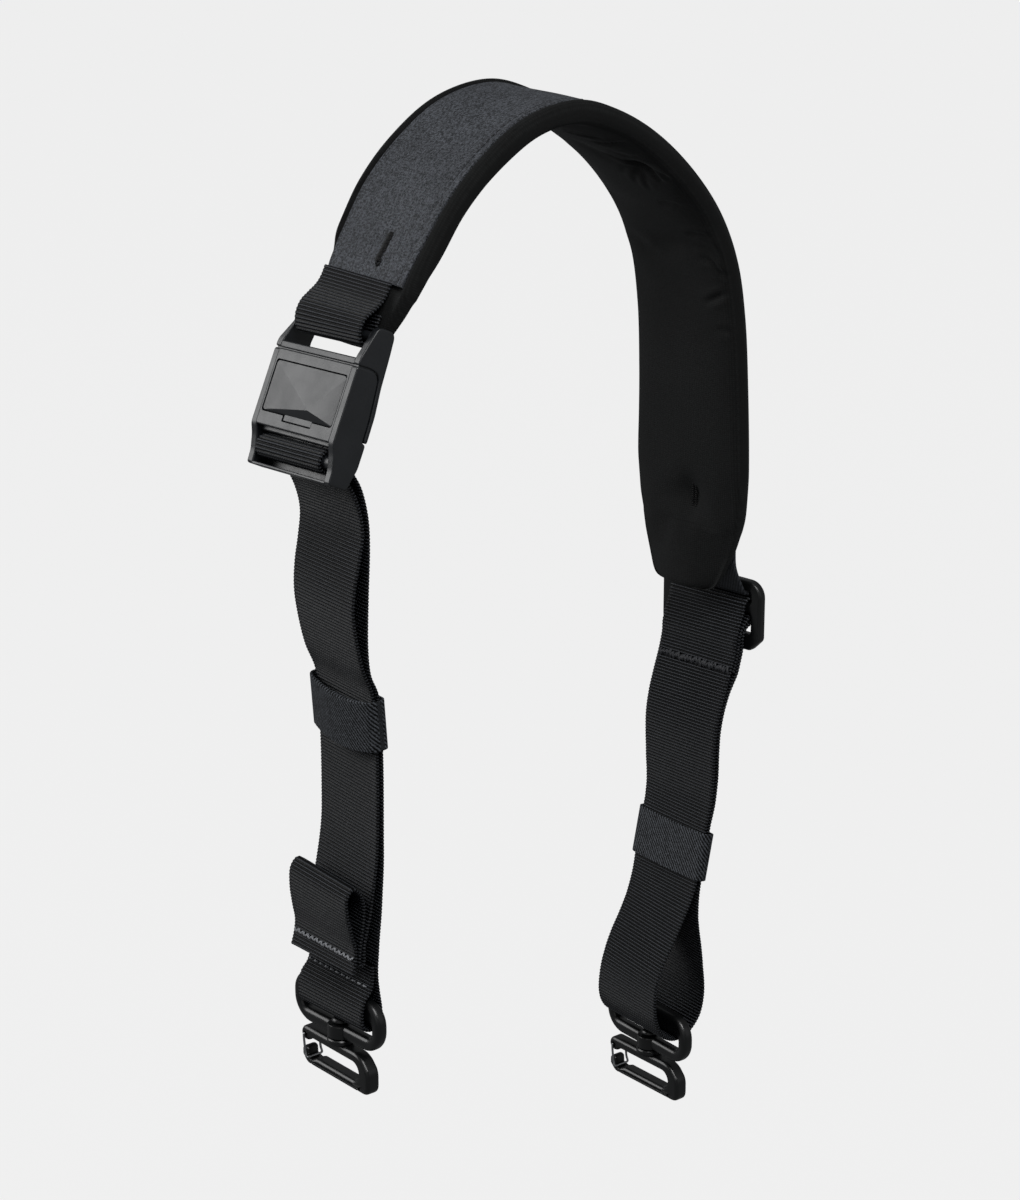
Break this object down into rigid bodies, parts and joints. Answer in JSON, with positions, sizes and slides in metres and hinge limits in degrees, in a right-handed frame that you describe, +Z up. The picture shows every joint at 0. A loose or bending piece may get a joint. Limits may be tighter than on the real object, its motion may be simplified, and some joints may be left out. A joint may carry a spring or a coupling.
{
  "type": "padded crossbody strap",
  "caption": "Arched padded shoulder strap with a release buckle, adjustable webbing runs, elastic keepers, a slider and a swivelling wire-gate hook on each end ring.",
  "frame": {"origin": "the middle of the pad's inner face at the top of the arch, where it rests on a shoulder", "axes": "+Z up, +X from the buckle side to the slider side of the hanging strap, +Y across the strap's width towards its far edge"},
  "size_m": [0.2165, 0.0559, 0.4158],
  "materials": {
    "pad_knit": "matt black spacer knit over foam",
    "cover_weave": "grey-black woven nylon panel",
    "webbing": "black cross-ribbed nylon webbing",
    "elastic": "black twill elastic",
    "buckle_plastic": "satin black moulded nylon",
    "button_plastic": "satin black moulded nylon, faceted",
    "hardware_plastic": "black moulded acetal, slightly shiny",
    "gate_wire": "bright spring wire"
  },
  "bodies": {
    "strap": {"pad_core": "pad_knit", "pad_cover": "cover_weave", "upper_loop": "webbing", "buckle_upper": "buckle_plastic", "buckle_lower": "buckle_plastic", "buckle_button": "button_plastic", "left_webbing": "webbing", "left_keeper": "elastic", "left_ring": "hardware_plastic", "right_slider": "hardware_plastic", "right_webbing": "webbing", "right_keeper": "elastic", "right_ring": "hardware_plastic"},
    "left_hook": {"left_hook": "hardware_plastic"},
    "left_gate": {"left_gate": "gate_wire"},
    "right_hook": {"right_hook": "hardware_plastic"},
    "right_gate": {"right_gate": "gate_wire"}
  },
  "joints": [
    {"name": "left_hook_swivel", "type": "hinge", "parent": "strap", "child": "left_hook", "pos_m": [-0.0925, 0, -0.33], "axis": [0, 0, 1], "continuous": true},
    {"name": "left_gate_hinge", "type": "hinge", "parent": "left_hook", "child": "left_gate", "pos_m": [-0.0925, 0.0183, -0.33875], "axis": [1, 0, 0], "range_deg": [-22, 0], "stiffness_Nm_per_rad": 0.01, "springref_deg": 17.19},
    {"name": "right_hook_swivel", "type": "hinge", "parent": "strap", "child": "right_hook", "pos_m": [0.064, 0, -0.385], "axis": [0, 0, 1], "continuous": true},
    {"name": "right_gate_hinge", "type": "hinge", "parent": "right_hook", "child": "right_gate", "pos_m": [0.064, 0.0183, -0.39355], "axis": [1, 0, 0], "range_deg": [-22, 0], "stiffness_Nm_per_rad": 0.01, "springref_deg": 17.19}
  ]
}
